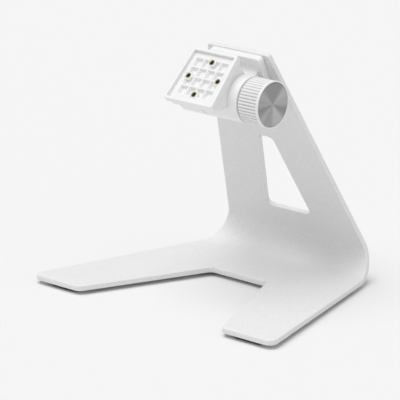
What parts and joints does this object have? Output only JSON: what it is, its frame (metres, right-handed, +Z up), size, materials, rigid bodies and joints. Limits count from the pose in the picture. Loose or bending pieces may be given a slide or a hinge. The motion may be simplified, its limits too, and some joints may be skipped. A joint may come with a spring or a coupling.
{
  "type": "countertop display stand",
  "caption": "Bent sheet-steel countertop stand with splayed legs, windowed leaning upright and a knob-clamped tilting mount head for a small customer display.",
  "frame": {"origin": "on the counter, at the middle of the stand's footprint", "axes": "+X across the stand to the knob's side, -Y to the front where the legs point, +Z up"},
  "size_m": [0.2314, 0.1688, 0.1833],
  "materials": {
    "coated_steel": "fine sand-textured powder coat",
    "white_plastic": "satin moulded",
    "rubber": "matte",
    "brass": "machined",
    "plated_steel": "zinc plated",
    "brushed_disc": "radially brushed",
    "fibre": "pressed friction fibre"
  },
  "bodies": {
    "stand": {"stand_sheet": "coated_steel", "front_pads": "rubber", "rear_pads": "rubber", "hinge_bracket": "white_plastic", "bracket_inserts": "brass", "bracket_screws": "plated_steel", "lock_washers": "plated_steel", "inner_bush": "brass", "outer_bush": "brass", "inner_friction_ring": "fibre", "outer_friction_ring": "fibre"},
    "head": {"mount_tray": "white_plastic", "mounting_inserts": "brass", "head_housing": "white_plastic", "housing_screws": "plated_steel", "clamp_spindle": "plated_steel", "end_plug": "white_plastic", "tilt_stop_pin": "plated_steel", "retaining_clip": "plated_steel"},
    "thrust_stack": {"thrust_washer": "plated_steel", "disc_springs": "plated_steel"},
    "knob": {"knob_grip": "white_plastic", "knob_nut": "brass", "knob_disc": "brushed_disc"}
  },
  "joints": [
    {"name": "head_tilt", "type": "hinge", "parent": "stand", "child": "head", "pos_m": [0, -0.00559, 0.15071], "axis": [1, 0, 0], "range_deg": [-20, 45]},
    {"name": "knob_travel", "type": "slide", "parent": "head", "child": "thrust_stack", "axis": [1, 0, 0], "range_m": [0, 0.00187]},
    {"name": "knob_turn", "type": "hinge", "parent": "thrust_stack", "child": "knob", "pos_m": [0, -0.00559, 0.15071], "axis": [1, 0, 0], "range_deg": [0, 540]}
  ],
  "couplings": [
    {"joint": "knob_turn", "follows": "knob_travel", "rad_per_m": 5026.5}
  ]
}
